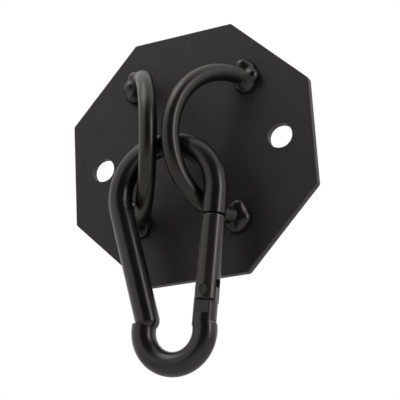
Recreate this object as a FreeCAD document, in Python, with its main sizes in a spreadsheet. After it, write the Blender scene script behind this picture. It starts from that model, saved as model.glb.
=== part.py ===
import FreeCAD, Part
import Sketcher
import math
import os
import re

# Wall hook: an octagonal steel plate with two leaning half rings welded to its face, and a spring
# snap hook that hangs in both rings. X runs to the right, Z up, and the wall is at Y = 0, with the
# plate in front of it towards -Y. The origin is the middle of the plate's back.

os.makedirs("parts", exist_ok=True)
doc = FreeCAD.newDocument("hammock_hook")

# Driving dimensions, in millimetres and degrees.
drivingSizes = [
    # plate
    ("plate_width", 90.0),
    ("plate_thickness", 3.2),
    ("plate_corner_round", 1.3),
    ("plate_edge_round", 0.5),
    ("hole_diameter", 8.7),
    ("hole_spacing", 67.0),
    # rings, each a bar bent to a half circle with two short legs
    ("rod_diameter", 6.0),
    ("ring_radius", 24.7),
    ("ring_leg", 4.4),
    ("ring_lean", 32.0),
    ("ring_foot_depth", 0.6),
    ("left_ring_x", -19.0),
    ("left_ring_z", 3.5),
    ("left_ring_turn", 2.0),
    ("right_ring_x", 19.7),
    ("right_ring_z", -1.2),
    ("right_ring_turn", 7.7),
    # weld beads round the ring feet
    ("weld_side_leg", 1.3),
    ("weld_end_leg", 3.6),
    ("weld_height", 4.1),
    # bent wire of the snap hook
    ("wire_diameter", 8.0),
    ("wide_radius", 17.3),
    ("narrow_radius", 10.7),
    ("centre_distance", 45.5),
    ("spine_inset", 2.6),
    ("gate_inset", 0.4),
    ("spine_end_rise", 6.26),
    ("spine_shoulder_angle", 16.0),
    ("gate_shoulder_angle", 9.0),
    ("bend_overlap", 0.25),
    ("hook_x", -1.5),
    ("hook_z", -19.0),
    ("hook_standoff", 16.5),
    # gate and its mechanism
    ("nose_length", 6.8),
    ("nose_gap", 0.5),
    ("gate_diameter", 7.8),
    ("gate_length", 27.6),
    ("gate_tail", 3.0),
    ("gate_edge_round", 0.5),
    ("tongue_thickness", 3.2),
    ("tongue_head", 2.4),
    ("tongue_half_width", 2.6),
    ("tongue_flat_half", 1.3),
    ("tongue_drop", 0.5),
    ("tongue_outer_inset", 1.1),
    ("neck_thickness", 6.6),
    ("seat_clearance", 0.15),
    ("slot_clearance", 0.25),
    ("tab_thickness", 2.6),
    ("tab_length", 2.4),
    ("tab_wall", 2.0),
    ("tab_clearance", 0.3),
    ("rivet_diameter", 3.0),
    ("rivet_clearance", 0.05),
    ("rivet_sink", 0.3),
    ("rivet_fit", 0.02),
    ("plunger_diameter", 3.4),
    ("plunger_length", 4.5),
    ("plunger_clearance", 0.1),
    ("plunger_gap", 0.03),
    ("spring_length", 8.0),
    ("spring_wire", 0.5),
    ("spring_turns", 7.0),
    ("spring_gap", 0.05),
    ("bore_gap", 0.2),
]

sheet = doc.addObject("Spreadsheet::Sheet", "Sizes")
for row, (alias, value) in enumerate(drivingSizes, start=1):
    sheet.set("A%d" % row, alias)
    sheet.set("B%d" % row, str(value))
    sheet.setAlias("B%d" % row, alias)
doc.recompute()


def size(expression):
    # value of an expression over the sheet's aliases
    value = sheet.evalExpression(expression)
    return float(getattr(value, "Value", value))


# Expressions that several pieces share, written over the sheet's aliases.
gateSlope = "(asin((wide_radius - narrow_radius + gate_inset) / centre_distance) / 1 deg)"
gateStart = "(nose_length + nose_gap)"
rivetDown = "(%s + gate_length - gate_tail)" % gateStart
gateArm = "sqrt(centre_distance ^ 2 - (wide_radius - narrow_radius + gate_inset) ^ 2)"
spineArm = "sqrt(centre_distance ^ 2 - (wide_radius - narrow_radius + spine_inset) ^ 2)"
spineLength = "(%s - spine_end_rise)" % spineArm
seatRadius = "(sqrt((gate_diameter / 2) ^ 2 + gate_tail ^ 2) + seat_clearance)"
slotRoot = "(sqrt(tongue_half_width ^ 2 + (tongue_head - tongue_drop) ^ 2) + slot_clearance)"
footSink = "(rod_diameter / 2 * tan(ring_lean) + ring_foot_depth)"
weldAcross = "(rod_diameter / 2 / cos(ring_lean) + weld_side_leg)"
weldAlong = "(rod_diameter / 2 + weld_end_leg)"


aliases = re.compile(r"\b(%s)\b" % "|".join(alias for alias, value in drivingSizes))


def onSheet(expression):
    # the same expression with every alias read from the sheet
    return aliases.sub(r"Sizes.\1", expression)


def bind(thing, path, expression):
    thing.setExpression(path, onSheet(expression))


def newBody(name, placement):
    body = doc.addObject("PartDesign::Body", name)
    body.Label = name
    body.Placement = placement
    return body


def newSketch(body, name, role, offset=None):
    sketch = body.newObject("Sketcher::SketchObject", name)
    plane = [f for f in body.Origin.OriginFeatures if f.Role == role][0]
    sketch.AttachmentSupport = [(plane, "")]
    sketch.MapMode = "FlatFace"
    if offset is not None:
        sketch.AttachmentOffset = offset
    return sketch


def pin(sketch, geometry, point, across, up):
    # fixes a point of the sketch at bound distances from the sketch's origin, one or both
    for kind, expression in (("DistanceX", across), ("DistanceY", up)):
        if expression is None:
            continue
        index = sketch.addConstraint(Sketcher.Constraint(kind, -1, 1, geometry, point, size(expression)))
        bind(sketch, "Constraints[%d]" % index, expression)


def drawCircle(sketch, across, up, radius):
    centre = FreeCAD.Vector(size(across), size(up), 0)
    index = sketch.addGeometry(Part.Circle(centre, FreeCAD.Vector(0, 0, 1), size(radius)), False)
    pin(sketch, index, 3, across, up)
    constraint = sketch.addConstraint(Sketcher.Constraint("Radius", index, size(radius)))
    bind(sketch, "Constraints[%d]" % constraint, radius)


def drawPolygon(sketch, corners):
    # closed outline of straight lines through corners given as pairs of expressions
    points = [FreeCAD.Vector(size(a), size(b), 0) for a, b in corners]
    first = sketch.GeometryCount
    for start, end in zip(points, points[1:] + points[:1]):
        sketch.addGeometry(Part.LineSegment(start, end), False)
    last = first + len(points) - 1
    for index in range(first, last):
        sketch.addConstraint(Sketcher.Constraint("Coincident", index, 2, index + 1, 1))
    sketch.addConstraint(Sketcher.Constraint("Coincident", last, 2, first, 1))
    for index, (across, up) in enumerate(corners):
        pin(sketch, first + index, 1, across, up)


def drawRectangle(sketch, left, low, right, high):
    drawPolygon(sketch, [(left, low), (right, low), (right, high), (left, high)])


def drawArc(sketch, up, radius, fromAngle, toAngle):
    # arc round a point on the vertical axis; returns it and its two end points in drawn order
    start, end = math.radians(size(fromAngle)), math.radians(size(toAngle))
    circle = Part.Circle(FreeCAD.Vector(0, size(up), 0), FreeCAD.Vector(0, 0, 1), size(radius))
    arc = sketch.addGeometry(Part.ArcOfCircle(circle, min(start, end), max(start, end)), False)
    ends = (1, 2) if end > start else (2, 1)
    pin(sketch, arc, 3, "0", up)
    constraint = sketch.addConstraint(Sketcher.Constraint("Radius", arc, size(radius)))
    bind(sketch, "Constraints[%d]" % constraint, radius)
    for point, angle in zip(ends, (fromAngle, toAngle)):
        # an end near the vertical axis is held sideways, and one near the horizontal axis in height
        if abs(math.cos(math.radians(size(angle)))) > 0.7:
            pin(sketch, arc, point, None, "%s + %s * sin(%s)" % (up, radius, angle))
        else:
            pin(sketch, arc, point, "%s * cos(%s)" % (radius, angle), None)
    return arc, ends


def drawLeg(sketch, arc, point, across, up):
    # straight line from an arc's end to a place given by two expressions
    corner = sketch.getPoint(arc, point)
    leg = sketch.addGeometry(
        Part.LineSegment(corner, FreeCAD.Vector(size(across), size(up), 0)), False
    )
    sketch.addConstraint(Sketcher.Constraint("Coincident", arc, point, leg, 1))
    pin(sketch, leg, 2, across, up)


def drawHalfDisc(sketch, radius):
    # right half of a disc about the sketch's origin, closed along its vertical axis
    circle = Part.Circle(FreeCAD.Vector(0, 0, 0), FreeCAD.Vector(0, 0, 1), size(radius))
    arc = sketch.addGeometry(Part.ArcOfCircle(circle, -math.pi / 2, math.pi / 2), False)
    low, high = sketch.getPoint(arc, 1), sketch.getPoint(arc, 2)
    chord = sketch.addGeometry(Part.LineSegment(high, low), False)
    sketch.addConstraint(Sketcher.Constraint("Coincident", arc, 3, -1, 1))
    sketch.addConstraint(Sketcher.Constraint("Coincident", arc, 2, chord, 1))
    sketch.addConstraint(Sketcher.Constraint("Coincident", arc, 1, chord, 2))
    sketch.addConstraint(Sketcher.Constraint("PointOnObject", arc, 1, -2))
    sketch.addConstraint(Sketcher.Constraint("PointOnObject", arc, 2, -2))
    constraint = sketch.addConstraint(Sketcher.Constraint("Radius", arc, size(radius)))
    bind(sketch, "Constraints[%d]" % constraint, radius)


def drawBentPath(sketch, up, radius, fromAngle, toAngle, leg):
    # arc with a straight leg that runs on from its second end
    arc, ends = drawArc(sketch, up, radius, fromAngle, toAngle)
    turn = "90" if size(toAngle) > size(fromAngle) else "(0 - 90)"
    across = "%s * cos(%s) + %s * cos(%s + %s)" % (radius, toAngle, leg, toAngle, turn)
    upward = "%s + %s * sin(%s) + %s * sin(%s + %s)" % (up, radius, toAngle, leg, toAngle, turn)
    drawLeg(sketch, arc, ends[1], across, upward)


def pad(body, name, sketch, length, middle=False, reverse=False):
    feature = body.newObject("PartDesign::Pad", name)
    feature.Profile = sketch
    bind(feature, "Length", length)
    feature.Midplane = middle
    feature.Reversed = reverse
    sketch.Visibility = False
    return feature


def pocket(body, name, sketch, length, middle=False, reverse=False):
    feature = body.newObject("PartDesign::Pocket", name)
    feature.Profile = sketch
    bind(feature, "Length", length)
    feature.Midplane = middle
    feature.Reversed = reverse
    sketch.Visibility = False
    return feature


def pipe(body, name, profile, path):
    feature = body.newObject("PartDesign::AdditivePipe", name)
    feature.Profile = profile
    feature.Spine = (path, [])
    profile.Visibility = False
    path.Visibility = False
    return feature


def turn(body, name, sketch):
    # full revolution of a half section about the sketch's own vertical axis
    feature = body.newObject("PartDesign::Revolution", name)
    feature.Profile = sketch
    feature.ReferenceAxis = (sketch, ["V_Axis"])
    feature.Angle = 360
    sketch.Visibility = False
    return feature


def hollow(body, name, sketch):
    # full turn of a half section about the sketch's own vertical axis, taken away
    feature = body.newObject("PartDesign::Groove", name)
    feature.Profile = sketch
    feature.ReferenceAxis = (sketch, ["V_Axis"])
    feature.Angle = 360
    sketch.Visibility = False
    return feature


def roundEdges(body, name, base, radius, chosen):
    # fillet on the edges of the base feature that the chosen test picks
    doc.recompute()
    names = ["Edge%d" % number for number, edge in enumerate(base.Shape.Edges, 1) if chosen(edge)]
    feature = body.newObject("PartDesign::Fillet", name)
    feature.Base = (base, names)
    bind(feature, "Radius", radius)
    return feature


# Frames of the pieces. A body's own XY plane lies in the wall plane's direction: x to the right,
# y up and z out of the wall.
facing = FreeCAD.Rotation(FreeCAD.Vector(1, 0, 0), 90)
plateFrame = FreeCAD.Placement(FreeCAD.Vector(0, 0, 0), facing)


def ringAxes(side):
    # directions of a ring over the plate: its feet, its sideways lean and its legs
    outward = -1 if side == "left" else 1
    turned = math.radians(size(side + "_ring_turn"))
    lean = math.radians(size("ring_lean"))
    feet = FreeCAD.Vector(math.sin(turned), math.cos(turned), 0)
    sideways = FreeCAD.Vector(math.cos(turned), -math.sin(turned), 0)
    legs = FreeCAD.Vector(0, 0, math.cos(lean)) - sideways * (outward * math.sin(lean))
    middle = FreeCAD.Vector(size(side + "_ring_x"), size(side + "_ring_z"), size("plate_thickness"))
    return feet, sideways, legs, middle


def ringFrame(side):
    # frame of a ring: x along the line of its feet, y along its legs, origin under the face
    feet, sideways, legs, middle = ringAxes(side)
    turned = FreeCAD.Rotation(feet, legs, feet.cross(legs), "XYZ")
    return plateFrame.multiply(FreeCAD.Placement(middle - legs * size(footSink), turned))


def weldFrame(side, level):
    # frame of a weld: on the plate's face round one foot, x sideways, y along the feet, z outwards
    feet, sideways, legs, middle = ringAxes(side)
    reach = size("ring_radius") if level == "upper" else -size("ring_radius")
    turned = FreeCAD.Rotation(sideways, feet, FreeCAD.Vector(0, 0, 1), "XYZ")
    return plateFrame.multiply(FreeCAD.Placement(middle + feet * reach, turned))


hookFrame = plateFrame.multiply(
    FreeCAD.Placement(
        FreeCAD.Vector(
            size("hook_x"), size("hook_z"), size("plate_thickness + hook_standoff")
        ),
        FreeCAD.Rotation(),
    )
)


def alongSide(slope, down, side):
    # place on the spine or the gate arm, at a distance down from the end of the wide bend
    angle = math.radians(size(slope))
    outward = FreeCAD.Vector(side * math.cos(angle), -math.sin(angle), 0)
    upward = FreeCAD.Vector(side * math.sin(angle), math.cos(angle), 0)
    place = outward * size("wide_radius") - upward * size(down)
    turned = FreeCAD.Rotation(FreeCAD.Vector(0, 0, 1), -side * math.degrees(angle))
    return FreeCAD.Placement(place, turned)


def inFront(place, face):
    # the same place lifted to the front or the back face of the neck's flats
    lift = FreeCAD.Vector(0, 0, face * size("neck_thickness / 2"))
    return FreeCAD.Placement(place.Base + lift, place.Rotation)


rivetPlace = alongSide(gateSlope, rivetDown, 1)
nosePlace = alongSide(gateSlope, "nose_length", 1)


def makePlate():
    # octagonal plate with rounded corners and two plain holes on its middle line
    body = newBody("base_plate", plateFrame)
    half = "plate_width / 2"
    corner = "plate_width / 2 * tan(22.5)"
    outline = newSketch(body, "plate_outline", "XY_Plane")
    # the eight corners in turn, from the right side's lower one
    corners = []
    for across, up in ((half, "0 - " + corner), (half, corner), (corner, half), ("0 - " + corner, half)):
        corners.append((across, up))
    corners += [("0 - (%s)" % across, "0 - (%s)" % up) for across, up in corners]
    drawPolygon(outline, corners)
    slab = pad(body, "plate_slab", outline, "plate_thickness")
    holes = newSketch(body, "plate_holes", "XY_Plane")
    drawCircle(holes, "hole_spacing / 2", "0", "hole_diameter / 2")
    drawCircle(holes, "0 - hole_spacing / 2", "0", "hole_diameter / 2")
    drilled = pocket(body, "plate_drilled", holes, "plate_thickness", reverse=True)
    thickness = size("plate_thickness")
    upright = roundEdges(
        body,
        "plate_corners",
        drilled,
        "plate_corner_round",
        lambda e: len(e.Vertexes) == 2 and abs(e.Length - thickness) < 1e-4
        and e.Vertexes[0].Point.sub(e.Vertexes[1].Point).z ** 2 > 1e-6
        and e.BoundBox.XLength + e.BoundBox.YLength < 1e-4
        and abs(e.Vertexes[0].Point.x) + abs(e.Vertexes[0].Point.y) > size(half),
    )
    front = roundEdges(
        body,
        "plate_front_edge",
        upright,
        "plate_edge_round",
        lambda e: abs(e.BoundBox.ZMin - thickness) < 1e-4
        and abs(e.CenterOfMass.x) + abs(e.CenterOfMass.y) > size("hole_spacing / 2 + hole_diameter / 2"),
    )
    body.Tip = front
    return body


def cutAtFace(body, side, reach):
    # cuts away what lies behind the plate's face, whose slope in the ring's frame is the lean
    sign = "(0 - 1)" if side == "left" else "1"
    rise = "%s * tan(ring_lean) * %s" % (sign, reach)
    cut = newSketch(body, side + "_bevel_outline", "YZ_Plane")
    drawPolygon(
        cut,
        [
            ("%s + %s" % (footSink, rise), "0 - " + reach),
            ("%s - %s" % (footSink, rise), reach),
            ("0 - 2 * " + reach, reach),
            ("0 - 2 * " + reach, "0 - " + reach),
        ],
    )
    return pocket(body, side + "_bevel", cut, "4 * ring_radius", middle=True)


def makeRing(side):
    # round bar bent to a half circle with two short legs, bevelled where it meets the plate
    body = newBody(side + "_ring", ringFrame(side))
    profile = newSketch(body, side + "_bar", "XZ_Plane")
    drawCircle(profile, "ring_radius", "0", "rod_diameter / 2")
    path = newSketch(body, side + "_bend", "XY_Plane")
    legs = "(ring_leg + %s)" % footSink
    arc, ends = drawArc(path, legs, "ring_radius", "0", "180")
    drawLeg(path, arc, ends[0], "ring_radius", "0")
    drawLeg(path, arc, ends[1], "0 - ring_radius", "0")
    pipe(body, side + "_bent_bar", profile, path)
    body.Tip = cutAtFace(body, side, "rod_diameter")
    return body


def makeWeld(side, level):
    # low oval weld bead on the plate, bored along the leaning bar that it holds
    body = newBody("weld_%s_%s" % (side, level), weldFrame(side, level))
    bead = body.newObject("PartDesign::AdditiveEllipsoid", body.Label + "_bead")
    bind(bead, "Radius1", "weld_height")
    bind(bead, "Radius2", weldAcross)
    bind(bead, "Radius3", weldAlong)
    bead.Angle1 = 0
    lean = size("ring_lean") if side == "left" else -size("ring_lean")
    tilt = FreeCAD.Placement(FreeCAD.Vector(), FreeCAD.Rotation(FreeCAD.Vector(0, 1, 0), lean))
    bar = newSketch(body, body.Label + "_bar", "XY_Plane", tilt)
    drawCircle(bar, "0", "0", "rod_diameter / 2")
    body.Tip = pocket(body, body.Label + "_bored", bar, "4 * " + weldAlong, middle=True)
    return body


def makeHookBody():
    # bent wire of the snap hook: wide bend, spine, shouldered narrow bend, tongue and nose
    body = newBody("hook_body", hookFrame)
    spineSlope = "(asin((wide_radius - narrow_radius + spine_inset) / centre_distance) / 1 deg)"
    narrowUp = "(0 - centre_distance)"

    # the wide bend is drawn from its top down both sides
    wideSection = newSketch(body, "wide_section", "YZ_Plane")
    drawCircle(wideSection, "wide_radius", "0", "wire_diameter / 2")
    spinePath = newSketch(body, "spine_path", "XY_Plane")
    drawBentPath(spinePath, "0", "wide_radius", "90", "(180 + %s)" % spineSlope, spineLength)
    pipe(body, "spine_wire", wideSection, spinePath)
    noseSection = newSketch(body, "nose_section", "YZ_Plane")
    drawCircle(noseSection, "wide_radius", "0", "wire_diameter / 2")
    nosePath = newSketch(body, "nose_path", "XY_Plane")
    drawBentPath(nosePath, "0", "wide_radius", "90", "(0 - %s)" % gateSlope, "nose_length")
    noseWire = pipe(body, "nose_wire", noseSection, nosePath)

    # the spine's end is rounded off inside the narrow bend
    spineEnd = alongSide(spineSlope, spineLength, -1)
    ball = newSketch(body, "spine_end_section", "XY_Plane", spineEnd)
    drawHalfDisc(ball, "wire_diameter / 2")
    turn(body, "spine_end", ball)

    # round neck that rises from the narrow bend, then the thin tongue that carries the gate
    neckTop = "(0 - gate_tail - nose_gap)"
    neckFoot = "(%s - %s)" % (rivetDown, gateArm)
    neck = newSketch(body, "neck_section", "XY_Plane", rivetPlace)
    half = "wire_diameter / 2"
    neckCentre = "(%s + narrow_radius * sin(gate_shoulder_angle))" % neckFoot
    drawPolygon(neck, [("0", neckCentre), (half, neckCentre), (half, neckTop), ("0", neckTop)])
    turn(body, "neck", neck)
    # both arms are cleared to the inside of the narrow bend before it joins them
    clearing = newSketch(body, "bend_clearing_outline", "XY_Plane")
    drawCircle(clearing, "0", narrowUp, "narrow_radius - wire_diameter / 2 - bend_overlap")
    pocket(body, "bend_clearing", clearing, "2 * wire_diameter", middle=True)
    # the narrow bend stands a little outside both arms, so its ends show as shoulders
    bendSection = newSketch(body, "bend_section", "YZ_Plane")
    drawCircle(bendSection, "0 - centre_distance - narrow_radius", "0", "wire_diameter / 2")
    leftBend = newSketch(body, "left_bend_path", "XY_Plane")
    drawArc(leftBend, narrowUp, "narrow_radius", "270", "(180 - spine_shoulder_angle)")
    pipe(body, "left_bend", bendSection, leftBend)
    bendSectionRight = newSketch(body, "bend_section_right", "YZ_Plane")
    drawCircle(bendSectionRight, "0 - centre_distance - narrow_radius", "0", "wire_diameter / 2")
    rightBend = newSketch(body, "right_bend_path", "XY_Plane")
    drawArc(rightBend, narrowUp, "narrow_radius", "270", "(360 + gate_shoulder_angle)")
    pipe(body, "right_bend", bendSectionRight, rightBend)

    # flats on the neck's front, back and outer side
    flatLow = "(%s + wire_diameter / 2)" % neckCentre
    for name, face in (("front", 1), ("back", -1)):
        flat = newSketch(body, "neck_%s_outline" % name, "XY_Plane", inFront(rivetPlace, face))
        drawRectangle(flat, "0 - wire_diameter", flatLow, "wire_diameter", "wire_diameter")
        pocket(body, "neck_" + name, flat, "wire_diameter", reverse=face > 0)
    side = newSketch(body, "neck_side_outline", "XY_Plane", rivetPlace)
    outer = "(wire_diameter / 2 - tongue_outer_inset)"
    sideLow = "(%s + tongue_outer_inset)" % neckCentre
    drawRectangle(side, outer, sideLow, "wire_diameter", "wire_diameter")
    pocket(body, "neck_side", side, "2 * wire_diameter", middle=True)
    # the neck's top is hollowed round the rivet, so that the gate's tail swings clear of it
    seat = newSketch(body, "neck_seat_section", "XY_Plane", rivetPlace)
    drawHalfDisc(seat, seatRadius)
    hollow(body, "neck_seat", seat)
    # tongue between the gate's prongs, with a flat end and two sloping corners for the plunger
    tongue = newSketch(body, "tongue_outline", "XY_Plane", rivetPlace)
    wide, shoulder = "tongue_half_width", "tongue_head - tongue_drop"
    drawPolygon(
        tongue,
        [
            ("0 - " + wide, neckCentre),
            (wide, neckCentre),
            (wide, shoulder),
            ("tongue_flat_half", "tongue_head"),
            ("0 - tongue_flat_half", "tongue_head"),
            ("0 - " + wide, shoulder),
        ],
    )
    pad(body, "tongue", tongue, "tongue_thickness", middle=True)
    bore = newSketch(body, "tongue_bore", "XY_Plane", rivetPlace)
    drawCircle(bore, "0", "0", "rivet_diameter / 2 + rivet_clearance")
    pocket(body, "tongue_drilled", bore, "wire_diameter", middle=True)

    # slot in the nose, open on the inner side, whose outer wall stops the gate's tab
    slot = newSketch(body, "nose_slot_outline", "XY_Plane", nosePlace)
    wall = "(wire_diameter / 2 - tab_wall)"
    slotEnd = "tab_length - nose_gap + tab_clearance"
    drawRectangle(slot, "0 - wire_diameter", "0 - wire_diameter", wall, slotEnd)
    body.Tip = pocket(body, "nose_slot", slot, "tab_thickness + 2 * tab_clearance", middle=True)
    return body


def makeGate():
    # round gate: forked at the rivet, bored for its spring, with a thin tab at the nose
    body = newBody("gate", hookFrame.multiply(rivetPlace))
    top = "(gate_length - gate_tail)"
    section = newSketch(body, "gate_section", "XY_Plane")
    half = "gate_diameter / 2"
    drawRectangle(section, "0", "0 - gate_tail", half, top)
    bar = turn(body, "gate_bar", section)
    roundEdges(body, "gate_ends", bar, "gate_edge_round", lambda e: e.Length > size("3 * gate_diameter"))
    tab = newSketch(body, "tab_outline", "XY_Plane")
    tabOuter = "(wire_diameter / 2 - tab_wall - tab_clearance)"
    tabInner = "(0 - gate_diameter / 2 + tab_clearance)"
    drawPolygon(
        tab,
        [
            (tabInner, "%s - tab_length" % top),
            (tabOuter, "%s - tab_length" % top),
            (tabOuter, "%s + tab_length" % top),
            (tabInner + " + tab_length", "%s + tab_length" % top),
            (tabInner, "%s + tab_length / 2" % top),
        ],
    )
    pad(body, "gate_tab", tab, "tab_thickness", middle=True)
    fork = newSketch(body, "fork_outline", "XY_Plane")
    drawRectangle(fork, "0 - gate_diameter", "0 - gate_diameter", "gate_diameter", slotRoot)
    pocket(body, "gate_fork", fork, "tongue_thickness + 2 * slot_clearance", middle=True)
    bore = newSketch(body, "spring_bore", "XZ_Plane")
    drawCircle(bore, "0", "0", "plunger_diameter / 2 + plunger_clearance")
    pocket(body, "gate_bored", bore, "tongue_head + plunger_length + spring_length + bore_gap")
    hole = newSketch(body, "rivet_hole", "XY_Plane")
    drawCircle(hole, "0", "0", "rivet_diameter / 2 + rivet_fit")
    pocket(body, "gate_drilled", hole, "2 * gate_diameter", middle=True)
    body.Tip = body.Group[-1]
    return body


def makeRivet():
    # flush rivet through the fork and the tongue
    body = newBody("hinge_rivet", hookFrame.multiply(rivetPlace))
    shank = newSketch(body, "rivet_section", "XY_Plane")
    drawCircle(shank, "0", "0", "rivet_diameter / 2")
    body.Tip = pad(body, "rivet_shank", shank, "gate_diameter - 2 * rivet_sink", middle=True)
    return body


def makePlunger():
    # small spring-loaded pin that presses on the flat end of the tongue
    body = newBody("spring_plunger", hookFrame.multiply(rivetPlace))
    section = newSketch(body, "plunger_section", "XY_Plane")
    half = "plunger_diameter / 2"
    drawRectangle(section, "0", "tongue_head + plunger_gap", half, "tongue_head + plunger_length")
    body.Tip = turn(body, "plunger_pin", section)
    return body


def makeSpring():
    # compression spring behind the plunger, swept along a helix
    radius = size("plunger_diameter / 2 - spring_wire / 2")
    free = size("spring_length - spring_wire")
    low = size("tongue_head + plunger_length + spring_wire / 2 + spring_gap")
    helix = Part.makeHelix(free / size("spring_turns"), free, radius)
    ring = Part.Circle(FreeCAD.Vector(radius, 0, 0), FreeCAD.Vector(0, 1, 0), size("spring_wire / 2"))
    section = Part.Wire([ring.toShape()])
    coil = Part.Wire(helix).makePipeShell([section], True, True)
    feature = doc.addObject("Part::Feature", "gate_spring")
    feature.Label = "gate_spring"
    feature.Shape = coil
    upArm = FreeCAD.Placement(FreeCAD.Vector(0, low, 0), FreeCAD.Rotation(FreeCAD.Vector(1, 0, 0), -90))
    feature.Placement = hookFrame.multiply(rivetPlace).multiply(upArm)
    return feature


pieces = [makePlate()]
for sideName in ("left", "right"):
    pieces.append(makeRing(sideName))
    for levelName in ("upper", "lower"):
        pieces.append(makeWeld(sideName, levelName))
pieces += [makeHookBody(), makeGate(), makeRivet(), makePlunger(), makeSpring()]
doc.recompute()

# Every object has to be sound before anything is written.
for thing in doc.Objects:
    if "Invalid" in thing.State or "Error" in thing.State:
        raise RuntimeError("%s is %s" % (thing.Label, thing.State))
for piece in pieces:
    shape = piece.Shape
    if shape.isNull() or not shape.isValid() or len(shape.Solids) != 1:
        raise RuntimeError("%s has no sound single solid" % piece.Label)
    shape.exportStep("parts/%s.step" % piece.Label)
    print("%s %.1f mm3" % (piece.Label, shape.Volume))
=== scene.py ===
import math

import bmesh
import bpy
from mathutils import Euler, Matrix, Vector


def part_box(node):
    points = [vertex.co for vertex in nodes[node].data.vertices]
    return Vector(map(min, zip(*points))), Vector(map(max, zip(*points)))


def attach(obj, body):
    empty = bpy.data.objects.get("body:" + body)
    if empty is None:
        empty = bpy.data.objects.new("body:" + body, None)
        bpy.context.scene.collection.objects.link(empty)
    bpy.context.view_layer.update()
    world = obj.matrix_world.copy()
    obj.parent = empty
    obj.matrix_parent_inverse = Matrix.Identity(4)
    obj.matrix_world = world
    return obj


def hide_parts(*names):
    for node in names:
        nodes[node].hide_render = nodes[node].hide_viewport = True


# Hammock wall hook: black powder-coated plate, two welded rings and a spring snap hook hanging in them.
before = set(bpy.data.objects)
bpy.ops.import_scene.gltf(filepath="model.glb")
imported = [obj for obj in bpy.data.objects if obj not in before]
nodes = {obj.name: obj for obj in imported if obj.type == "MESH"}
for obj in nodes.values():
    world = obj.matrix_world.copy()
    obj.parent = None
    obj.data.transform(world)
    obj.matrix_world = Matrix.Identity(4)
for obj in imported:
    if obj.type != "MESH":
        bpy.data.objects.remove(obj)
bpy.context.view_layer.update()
mm = 0.001
print("frame loaded")


def linearColour(hexText):
    channels = [int(hexText[i:i + 2], 16) / 255 for i in (1, 3, 5)]
    return [c / 12.92 if c <= 0.04045 else ((c + 0.055) / 1.055) ** 2.4 for c in channels] + [1.0]


def addNode(tree, kind, values=None, links=None, **settings):
    # settings go to the node, values and links to its input sockets by name or number
    node = tree.nodes.new(kind)
    for name, value in settings.items():
        setattr(node, name, value)
    for socket, value in (values or {}).items():
        node.inputs[socket].default_value = value
    for socket, source in (links or {}).items():
        tree.links.new(source, node.inputs[socket])
    return node


def addPiece(name, mesh, material, body):
    mesh.materials.clear()
    mesh.materials.append(material)
    piece = bpy.data.objects.new(name, mesh)
    bpy.context.scene.collection.objects.link(piece)
    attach(piece, body)
    return piece


# Materials

def newMaterial(name, **values):
    material = bpy.data.materials.new(name)
    material.use_nodes = True
    tree = material.node_tree
    tree.nodes.clear()
    shader = addNode(tree, "ShaderNodeBsdfPrincipled", values)
    addNode(tree, "ShaderNodeOutputMaterial", links={"Surface": shader.outputs["BSDF"]})
    return material, tree, shader


def coatMaterial(coat):
    # black polyester powder coat over steel: a satin skin, its fine orange peel breaks up each highlight
    material, tree, shader = newMaterial(coat["name"], IOR=coat["ior"])
    shader.inputs["Specular Tint"].default_value = linearColour(coat["glossColour"])
    place = {"Vector": addNode(tree, "ShaderNodeTexCoord").outputs["Object"]}
    mottle = addNode(
        tree, "ShaderNodeTexNoise", {"Scale": 1 / (coat["mottleMm"] * mm), "Detail": 3.0}, place)
    shade = addNode(
        tree, "ShaderNodeMix",
        {6: linearColour(coat["darkColour"]), 7: linearColour(coat["lightColour"])},
        {0: mottle.outputs["Fac"]}, data_type="RGBA")
    # dust nibs caught in the coat, a light speck every few millimetres
    nib = addNode(tree, "ShaderNodeTexVoronoi", {"Scale": 1 / (coat["nibSpacingMm"] * mm)}, place)
    speck = addNode(
        tree, "ShaderNodeMapRange",
        {"From Min": coat["nibSize"], "From Max": 0.0, "To Max": coat["nibStrength"]},
        {"Value": nib.outputs["Distance"]})
    dusted = addNode(
        tree, "ShaderNodeMix", {7: linearColour(coat["nibColour"])},
        {0: speck.outputs["Result"], 6: shade.outputs[2]}, data_type="RGBA")
    tree.links.new(dusted.outputs[2], shader.inputs["Base Color"])
    # sheen that changes slowly over the surface
    sheen = addNode(
        tree, "ShaderNodeTexNoise", {"Scale": 1 / (coat["sheenMm"] * mm), "Detail": 4.0}, place)
    gloss = addNode(
        tree, "ShaderNodeMapRange",
        {"From Min": coat["sheenSpan"][0], "From Max": coat["sheenSpan"][1],
         "To Min": coat["roughness"][0], "To Max": coat["roughness"][1]},
        {"Value": sheen.outputs["Fac"]})
    tree.links.new(gloss.outputs["Result"], shader.inputs["Roughness"])
    peel = addNode(tree, "ShaderNodeTexNoise", {"Scale": 1 / (coat["peelMm"] * mm), "Detail": 2.0}, place)
    bump = addNode(
        tree, "ShaderNodeBump", {"Strength": coat["peelStrength"], "Distance": coat["peelDepthMm"] * mm},
        {"Height": peel.outputs["Fac"]})
    tree.links.new(bump.outputs["Normal"], shader.inputs["Normal"])
    return material


def steelMaterial(steel):
    # bare turned or drawn steel, mostly hidden in the gate: grey mirror with fine tool marks
    material, tree, shader = newMaterial(steel["name"], Metallic=1.0)
    place = {"Vector": addNode(tree, "ShaderNodeTexCoord").outputs["Object"]}
    marks = addNode(
        tree, "ShaderNodeTexNoise", {"Scale": 1 / (steel["markMm"] * mm), "Detail": 3.0}, place)
    gloss = addNode(
        tree, "ShaderNodeMapRange", {"To Min": steel["roughness"][0], "To Max": steel["roughness"][1]},
        {"Value": marks.outputs["Fac"]})
    tree.links.new(gloss.outputs["Result"], shader.inputs["Roughness"])
    tint = addNode(
        tree, "ShaderNodeMix",
        {6: linearColour(steel["darkColour"]), 7: linearColour(steel["lightColour"])},
        {0: marks.outputs["Fac"]}, data_type="RGBA")
    tree.links.new(tint.outputs[2], shader.inputs["Base Color"])
    return material


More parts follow.
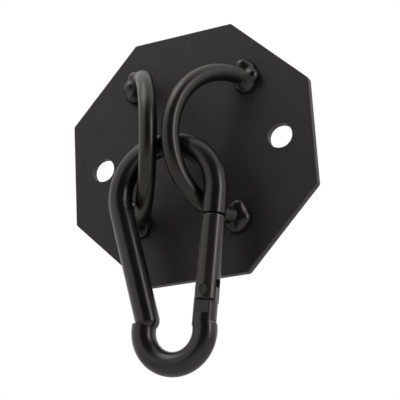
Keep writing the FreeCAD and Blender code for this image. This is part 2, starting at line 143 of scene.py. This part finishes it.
plateCoat = {
    "name": "satinPowderCoatPlate",
    "darkColour": "#0a0909",
    "lightColour": "#100f0f",
    "glossColour": "#fff6f6",
    "mottleMm": 9.0,
    "sheenMm": 4.0,
    "sheenSpan": (0.3, 0.7),
    "roughness": (0.50, 0.58),
    "peelMm": 0.9,  # real peel is about 0.5 mm, drawn coarser so that it shows
    "peelStrength": 0.25,
    "peelDepthMm": 0.05,
    "nibSpacingMm": 3.5,
    "nibSize": 0.07,
    "nibColour": "#6a6a68",
    "nibStrength": 0.6,
    "ior": 1.5,
}
barCoat = dict(
    plateCoat, name="satinPowderCoatBar", roughness=(0.28, 0.36), peelMm=0.8, nibStrength=0.3,
    glossColour="#fff6f3")
weldCoat = dict(plateCoat, name="powderCoatOnWeld", roughness=(0.24, 0.34), peelMm=0.5, nibStrength=0.4)
wireCoat = dict(
    plateCoat, name="smoothBlackCoatWire", roughness=(0.26, 0.32), peelMm=1.4, peelStrength=0.12,
    nibStrength=0.2, glossColour="#fff5f7")
# the gate is a turned bar under a thinner coat, a little browner and paler
gateCoat = dict(
    wireCoat, name="smoothBlackCoatGate", roughness=(0.24, 0.30), peelMm=1.6, peelStrength=0.1,
    darkColour="#171514", lightColour="#1f1c1b", glossColour="#fff7f6")
rivetCoat = dict(
    wireCoat, name="blackCoatRivet", roughness=(0.30, 0.36), peelMm=1.1, peelStrength=1.0,
    peelDepthMm=0.3)
plungerSteel = {
    "name": "turnedSteelPlunger",
    "darkColour": "#a2a2a4",
    "lightColour": "#bcbcbd",
    "markMm": 0.3,
    "roughness": (0.25, 0.38),
}
springSteel = dict(plungerSteel, name="drawnSpringWire", darkColour="#8e8e90", lightColour="#a8a8aa")

barMaterial = coatMaterial(barCoat)
weldMaterial = coatMaterial(weldCoat)
wireMaterial = coatMaterial(wireCoat)
finishes = {
    "base_plate": coatMaterial(plateCoat),
    "left_ring": barMaterial,
    "right_ring": barMaterial,
    "hook_body": wireMaterial,
    "gate": coatMaterial(gateCoat),
    "hinge_rivet": coatMaterial(rivetCoat),
    "spring_plunger": steelMaterial(plungerSteel),
    "gate_spring": steelMaterial(springSteel),
}
for nodeName, material in finishes.items():
    for slot in nodes[nodeName].material_slots:
        slot.material = material
print("materials done")


# Weld beads: an oval of lumps melted into one, with spatter round it, worked in millimetres

beadMelt = {
    "strayLow": (-1.0, -1.0, 0.0),
    "strayHigh": (1.0, 1.0, 2.4),
    "lumpScale": (0.62, 1.1),
    "domeFill": 0.98,
    "voxel": 0.2,
    "smoothing": 60,
    "sunk": -0.3,
    "spatterSpread": (0.98, 1.2),
    "dropRadius": 0.36,
    "dropScale": (0.35, 1.0),
}
beadSockets = {
    "Lumps": "NodeSocketInt",
    "Lump Radius": "NodeSocketFloat",
    "Half Across": "NodeSocketFloat",
    "Half Along": "NodeSocketFloat",
    "Rise": "NodeSocketFloat",
    "Wander": "NodeSocketFloat",
    "Spatter": "NodeSocketInt",
    "Seed": "NodeSocketInt",
    "Material": "NodeSocketMaterial",
}
beadTree = bpy.data.node_groups.new("weldBead", "GeometryNodeTree")
beadTree.interface.new_socket("Geometry", in_out="OUTPUT", socket_type="NodeSocketGeometry")
socketIds = {}
for socketName, socketType in beadSockets.items():
    socketIds[socketName] = beadTree.interface.new_socket(
        socketName, in_out="INPUT", socket_type=socketType).identifier
given = addNode(beadTree, "NodeGroupInput").outputs
place = addNode(beadTree, "GeometryNodeInputPosition").outputs["Position"]

# lumps on the oval, each a little off it and of its own size
inset = addNode(beadTree, "ShaderNodeMath", {1: 0.9}, {0: given["Lump Radius"]}, operation="MULTIPLY")
ovalAcross = addNode(
    beadTree, "ShaderNodeMath", None, {0: given["Half Across"], 1: inset.outputs[0]},
    operation="SUBTRACT")
ovalAlong = addNode(
    beadTree, "ShaderNodeMath", None, {0: given["Half Along"], 1: inset.outputs[0]}, operation="SUBTRACT")
ovalSize = addNode(
    beadTree, "ShaderNodeCombineXYZ", None, {"X": ovalAcross.outputs[0], "Y": ovalAlong.outputs[0]})
onOval = addNode(
    beadTree, "ShaderNodeVectorMath", None, {0: place, 1: ovalSize.outputs[0]}, operation="MULTIPLY")
stray = addNode(
    beadTree, "FunctionNodeRandomValue", {0: beadMelt["strayLow"], 1: beadMelt["strayHigh"]},
    {8: given["Seed"]},
    data_type="FLOAT_VECTOR")
wander = addNode(
    beadTree, "ShaderNodeVectorMath", None, {0: stray.outputs[0], "Scale": given["Wander"]},
    operation="SCALE")
lumpPlace = addNode(
    beadTree, "ShaderNodeVectorMath", None, {0: onOval.outputs[0], 1: wander.outputs[0]}, operation="ADD")
circle = addNode(beadTree, "GeometryNodeMeshCircle", {"Radius": 1.0}, {"Vertices": given["Lumps"]})
lumpPoints = addNode(
    beadTree, "GeometryNodeSetPosition", None,
    {"Geometry": circle.outputs[0], "Position": lumpPlace.outputs[0]})
lump = addNode(
    beadTree, "GeometryNodeMeshIcoSphere", {"Subdivisions": 3}, {"Radius": given["Lump Radius"]})
lumpScale = addNode(
    beadTree, "FunctionNodeRandomValue", {2: beadMelt["lumpScale"][0], 3: beadMelt["lumpScale"][1]},
    {8: given["Seed"]}, data_type="FLOAT")
lumps = addNode(
    beadTree, "GeometryNodeInstanceOnPoints", None,
    {"Points": lumpPoints.outputs[0], "Instance": lump.outputs[0], "Scale": lumpScale.outputs[1]})
lumpMesh = addNode(beadTree, "GeometryNodeRealizeInstances", None, {0: lumps.outputs[0]})

# the dome that fills the bead up to the bar
domeSize = addNode(
    beadTree, "ShaderNodeCombineXYZ", None,
    {"X": given["Half Across"], "Y": given["Half Along"], "Z": given["Rise"]})
ball = addNode(beadTree, "GeometryNodeMeshIcoSphere", {"Radius": beadMelt["domeFill"], "Subdivisions": 4})
dome = addNode(
    beadTree, "GeometryNodeTransform", None, {"Geometry": ball.outputs[0], "Scale": domeSize.outputs[0]})
both = addNode(beadTree, "GeometryNodeJoinGeometry", None, {0: lumpMesh.outputs[0]})
beadTree.links.new(dome.outputs[0], both.inputs[0])

# melted together, smoothed, and cut off flat just inside the plate
melt = addNode(
    beadTree, "GeometryNodeMeshToVolume",
    {"Voxel Size": beadMelt["voxel"], "Interior Band Width": 4 * beadMelt["voxel"]},
    {"Mesh": both.outputs[0]}, resolution_mode="VOXEL_SIZE")
skin = addNode(
    beadTree, "GeometryNodeVolumeToMesh", {"Threshold": 0.1}, {"Volume": melt.outputs[0]},
    resolution_mode="GRID")
soft = addNode(
    beadTree, "GeometryNodeBlurAttribute", {"Iterations": beadMelt["smoothing"]}, {"Value": place},
    data_type="FLOAT_VECTOR")
parts = addNode(beadTree, "ShaderNodeSeparateXYZ", None, {0: soft.outputs[0]})
floorCut = addNode(
    beadTree, "ShaderNodeMath", {1: beadMelt["sunk"]}, {0: parts.outputs["Z"]}, operation="MAXIMUM")
flatFoot = addNode(
    beadTree, "ShaderNodeCombineXYZ", None,
    {"X": parts.outputs["X"], "Y": parts.outputs["Y"], "Z": floorCut.outputs[0]})
bead = addNode(
    beadTree, "GeometryNodeSetPosition", None,
    {"Geometry": skin.outputs[0], "Position": flatFoot.outputs[0]})

# spatter balls on the plate round the toe
spread = addNode(
    beadTree, "FunctionNodeRandomValue",
    {2: beadMelt["spatterSpread"][0], 3: beadMelt["spatterSpread"][1]}, {8: given["Seed"]},
    data_type="FLOAT")
toeSize = addNode(
    beadTree, "ShaderNodeCombineXYZ", None, {"X": given["Half Across"], "Y": given["Half Along"]})
onToe = addNode(
    beadTree, "ShaderNodeVectorMath", None, {0: place, 1: toeSize.outputs[0]}, operation="MULTIPLY")
spatterPlace = addNode(
    beadTree, "ShaderNodeVectorMath", None, {0: onToe.outputs[0], "Scale": spread.outputs[1]},
    operation="SCALE")
toeCircle = addNode(beadTree, "GeometryNodeMeshCircle", {"Radius": 1.0}, {"Vertices": given["Spatter"]})
toePoints = addNode(
    beadTree, "GeometryNodeSetPosition", None,
    {"Geometry": toeCircle.outputs[0], "Position": spatterPlace.outputs[0]})
drop = addNode(
    beadTree, "GeometryNodeMeshIcoSphere", {"Radius": beadMelt["dropRadius"], "Subdivisions": 2})
dropScale = addNode(
    beadTree, "FunctionNodeRandomValue", {2: beadMelt["dropScale"][0], 3: beadMelt["dropScale"][1]},
    {8: given["Seed"]}, data_type="FLOAT")
drops = addNode(
    beadTree, "GeometryNodeInstanceOnPoints", None,
    {"Points": toePoints.outputs[0], "Instance": drop.outputs[0], "Scale": dropScale.outputs[1]})

whole = addNode(beadTree, "GeometryNodeJoinGeometry", None, {0: bead.outputs[0]})
beadTree.links.new(drops.outputs[0], whole.inputs[0])
inMetres = addNode(
    beadTree, "GeometryNodeTransform", {"Scale": (mm, mm, mm)}, {"Geometry": whole.outputs[0]})
smooth = addNode(beadTree, "GeometryNodeSetShadeSmooth", None, {0: inMetres.outputs[0]})
real = addNode(beadTree, "GeometryNodeRealizeInstances", None, {0: smooth.outputs[0]})
coated = addNode(
    beadTree, "GeometryNodeSetMaterial", None,
    {"Geometry": real.outputs[0], "Material": given["Material"]})
addNode(beadTree, "NodeGroupOutput", None, {0: coated.outputs[0]})

beadCommon = {"Lumps": 6, "Lump Radius": 3.0, "Wander": 0.6, "Spatter": 7}
ringTurnsDeg = {"left": 2.0, "right": 7.7}
beads = {
    "weld_left_upper": {"Seed": 3},
    "weld_left_lower": {"Seed": 8},
    "weld_right_upper": {"Seed": 12, "Spatter": 14},
    "weld_right_lower": {"Seed": 21},
}
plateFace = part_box("base_plate")[0][1]
for nodeName, own in beads.items():
    side, end = nodeName.split("_")[1:]
    low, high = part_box(nodeName)
    turn = math.radians(ringTurnsDeg[side])
    size = {
        "Half Across": (high[0] - low[0]) / 2 / mm,
        "Half Along": (high[2] - low[2]) / 2 / mm,
        "Rise": (plateFace - low[1]) / mm,
    }
    carrier = bpy.data.objects.new("beadCarrier", bpy.data.meshes.new("beadCarrier"))
    bpy.context.scene.collection.objects.link(carrier)
    modifier = carrier.modifiers.new("weldBead", "NODES")
    modifier.node_group = beadTree
    for socketName, value in {**beadCommon, **size, **own, "Material": weldMaterial}.items():
        modifier[socketIds[socketName]] = value
    evaluated = carrier.evaluated_get(bpy.context.evaluated_depsgraph_get())
    mesh = bpy.data.meshes.new_from_object(evaluated)
    bpy.data.objects.remove(carrier)
    across = Vector((math.cos(turn), 0, -math.sin(turn)))
    along = Vector((math.sin(turn), 0, math.cos(turn)))
    centre = Vector(((low[0] + high[0]) / 2, plateFace, (low[2] + high[2]) / 2))
    axes = Matrix((across, along, Vector((0, -1, 0)))).transposed().to_4x4()
    mesh.transform(Matrix.Translation(centre) @ axes)
    pieceName = "weldBead" + side.title() + end.title()
    mesh.name = pieceName
    piece = addPiece(pieceName, mesh, weldMaterial, "wall_plate")
    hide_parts(nodeName)
    print(pieceName, len(mesh.polygons), "faces")


# Tongue cheeks: the hook's tongue is as wide as the gate, and fills the lower half of the gate's slot

tongue = {
    "rivet": (10.686, -19.7, -53.182),
    "armUp": (0.15383, 0.0, 0.9881),
    "halfWidth": 3.7,
    "below": -3.9,
    "above": 1.3,
    "corner": 0.5,
    "halfThickness": 1.55,
    "edgeRound": 0.18,
}
up = Vector(tongue["armUp"])
out = Vector((up.z, 0, -up.x))
rivetPlace = Vector(tongue["rivet"]) * mm
outline = [(-tongue["halfWidth"], tongue["below"]), (tongue["halfWidth"], tongue["below"])]
for side, degrees in ((1, range(0, 91, 15)), (-1, range(90, -1, -15))):
    for degree in degrees:
        angle = math.radians(degree)
        outline.append((
            side * (tongue["halfWidth"] - tongue["corner"] * (1 - math.cos(angle))),
            tongue["above"] - tongue["corner"] * (1 - math.sin(angle))))
mesh = bpy.data.meshes.new("tongueCheeks")
shape = bmesh.new()
backEdge = [
    shape.verts.new(rivetPlace + (out * u + up * v + Vector((0, tongue["halfThickness"], 0))) * mm)
    for u, v in outline]
face = shape.faces.new(backEdge)
thickness = Vector((0, -2 * tongue["halfThickness"], 0)) * mm
front = bmesh.ops.extrude_face_region(shape, geom=[face])
bmesh.ops.translate(
    shape, vec=thickness, verts=[v for v in front["geom"] if isinstance(v, bmesh.types.BMVert)])
rims = [e for e in shape.edges if abs((e.verts[0].co - e.verts[1].co).y) < 0.01 * mm]
bmesh.ops.bevel(
    shape, geom=rims, offset=tongue["edgeRound"] * mm, segments=3, profile=0.5, affect="EDGES")
bmesh.ops.recalc_face_normals(shape, faces=shape.faces)
shape.to_mesh(mesh)
shape.free()
addPiece("tongueCheeks", mesh, wireMaterial, "snap_hook")
print("tongue done", len(mesh.polygons), "faces")


# Neck flank: keeps the neck round on its outer side, from the gate's foot down to the bow

flank = {
    "radius": 3.65,
    "chordAt": 2.0,
    "top": -3.62,
    "bottom": -9.4,
    "arcSteps": 16,
    "edgeRound": 0.2,
}
halfArc = math.acos(flank["chordAt"] / flank["radius"])
section = [
    (flank["radius"] * math.cos(angle), flank["radius"] * math.sin(angle))
    for angle in (halfArc * (2 * step / flank["arcSteps"] - 1) for step in range(flank["arcSteps"] + 1))]
mesh = bpy.data.meshes.new("neckFlank")
shape = bmesh.new()
ends = [
    [shape.verts.new(rivetPlace + (out * u + Vector((0, y, 0)) + up * flank[level]) * mm) for u,
    y in section]
    for level in ("bottom", "top")]
caps = [shape.faces.new(end) for end in ends]
for step in range(len(section)):
    following = (step + 1) % len(section)
    shape.faces.new((ends[0][step], ends[0][following], ends[1][following], ends[1][step]))
bmesh.ops.bevel(
    shape, geom=list(caps[1].edges), offset=flank["edgeRound"] * mm, segments=2, profile=0.5,
    affect="EDGES")
bmesh.ops.recalc_face_normals(shape, faces=shape.faces)
for face in shape.faces:
    face.smooth = True
shape.to_mesh(mesh)
shape.free()
mesh.set_sharp_from_angle(angle=math.radians(40))
addPiece("neckFlank", mesh, wireMaterial, "snap_hook")
print("neck flank done", len(mesh.polygons), "faces")


# Studio

studio = {
    "floorHeight": -0.42,
    "floorSize": 6.0,
    "floorColour": "#e9e9e8",
    "cardColour": "#050505",
    "ambient": 0.7,
    "aim": (0.0, -0.015, -0.02),
}

# white where the camera, a reflection or glass looks at it, a plain grey sky for all other light
world = bpy.data.worlds.new("studioSurround")
bpy.context.scene.world = world
world.use_nodes = True
worldTree = world.node_tree
worldTree.nodes.clear()
lightPath = addNode(worldTree, "ShaderNodeLightPath").outputs
seen = addNode(
    worldTree, "ShaderNodeMath", None, {0: lightPath["Is Camera Ray"], 1: lightPath["Is Glossy Ray"]},
    operation="MAXIMUM")
seen = addNode(
    worldTree, "ShaderNodeMath", None, {0: seen.outputs[0], 1: lightPath["Is Transmission Ray"]},
    operation="MAXIMUM")
white = addNode(worldTree, "ShaderNodeBackground", {"Color": (1.0, 1.0, 1.0, 1.0), "Strength": 1.0})
ambient = addNode(
    worldTree, "ShaderNodeBackground", {"Color": (1.0, 1.0, 1.0, 1.0), "Strength": studio["ambient"]})
surround = addNode(
    worldTree, "ShaderNodeMixShader", None,
    {0: seen.outputs[0], 1: ambient.outputs[0], 2: white.outputs[0]})
addNode(worldTree, "ShaderNodeOutputWorld", None, {"Surface": surround.outputs[0]})


def addSheet(name, size, material):
    mesh = bpy.data.meshes.new(name)
    x, y = size[0] / 2, size[1] / 2
    mesh.from_pydata([(-x, -y, 0), (x, -y, 0), (x, y, 0), (-x, y, 0)], [], [(0, 1, 2, 3)])
    mesh.materials.append(material)
    sheet = bpy.data.objects.new(name, mesh)
    bpy.context.scene.collection.objects.link(sheet)
    return sheet


def aimAt(thing, azimuth, elevation, distance, axis):
    # azimuth 0 is in front of the wall plate, 90 is to its right
    turn, rise = math.radians(azimuth), math.radians(elevation)
    away = Vector((math.sin(turn) * math.cos(rise), -math.cos(turn) * math.cos(rise), math.sin(rise)))
    thing.location = Vector(studio["aim"]) + away * distance
    thing.rotation_euler = away.to_track_quat(axis, "Y").to_euler()


def addSoftbox(name, azimuth, elevation, distance, size, power):
    lampData = bpy.data.lights.new(name, "AREA")
    lampData.shape = "RECTANGLE"
    lampData.size, lampData.size_y = size
    lampData.energy = power
    lamp = bpy.data.objects.new(name, lampData)
    bpy.context.scene.collection.objects.link(lamp)
    aimAt(lamp, azimuth, elevation, distance, "Z")


def addCard(name, azimuth, elevation, distance, size):
    # a black card that only reflections see, as a photographer sets beside shiny things
    card = addSheet(name, size, blackCard)
    aimAt(card, azimuth, elevation, distance, "Z")
    card.visible_camera = False
    card.visible_diffuse = False
    card.visible_shadow = False
    card.visible_transmission = False


floorPaper, tree, shader = newMaterial("matteWhitePaper", Roughness=0.9)  # bright and without sheen
shader.inputs["Base Color"].default_value = linearColour(studio["floorColour"])
blackCard, tree, shader = newMaterial("blackFeltCard", Roughness=1.0)  # takes the light out of a reflection
shader.inputs["Base Color"].default_value = linearColour(studio["cardColour"])

floor = addSheet("paleFloor", (studio["floorSize"], studio["floorSize"]), floorPaper)
floor.location.z = studio["floorHeight"]
# azimuth and elevation in degrees, distance and size in metres, power in watts
softboxes = {
    "keySoftbox": {"azimuth": -38, "elevation": 60, "distance": 0.9, "size": (0.55, 0.55), "power": 2.1},
    "rightStrip": {"azimuth": 70, "elevation": 10, "distance": 0.8, "size": (0.12, 0.6), "power": 2.0},
}
cards = {
    "frontCard": {"azimuth": 28, "elevation": 0, "distance": 1.2, "size": (2.2, 3.6)},
    "lowCard": {"azimuth": 0, "elevation": -90, "distance": 0.6, "size": (1.6, 1.6)},
}
for name, place in softboxes.items():
    addSoftbox(name, **place)
for name, place in cards.items():
    addCard(name, **place)
print("studio done")


# Camera, placed where the octagon and its two holes say it stood

cameraPlace = {
    "location": (0.143693, -0.342969, -0.130301),
    "anglesDeg": (107.0788, 3.1692, 23.4399),
    "lensMm": 101.53,
    "sensorMm": 36.0,
}
cameraData = bpy.data.cameras.new("photoCamera")
cameraData.lens = cameraPlace["lensMm"]
cameraData.sensor_width = cameraPlace["sensorMm"]
cameraData.clip_start = 0.01
camera = bpy.data.objects.new("photoCamera", cameraData)
bpy.context.scene.collection.objects.link(camera)
camera.location = cameraPlace["location"]
camera.rotation_euler = Euler([math.radians(a) for a in cameraPlace["anglesDeg"]])
bpy.context.scene.camera = camera
bpy.context.scene.view_settings.view_transform = "Standard"
print("camera done")
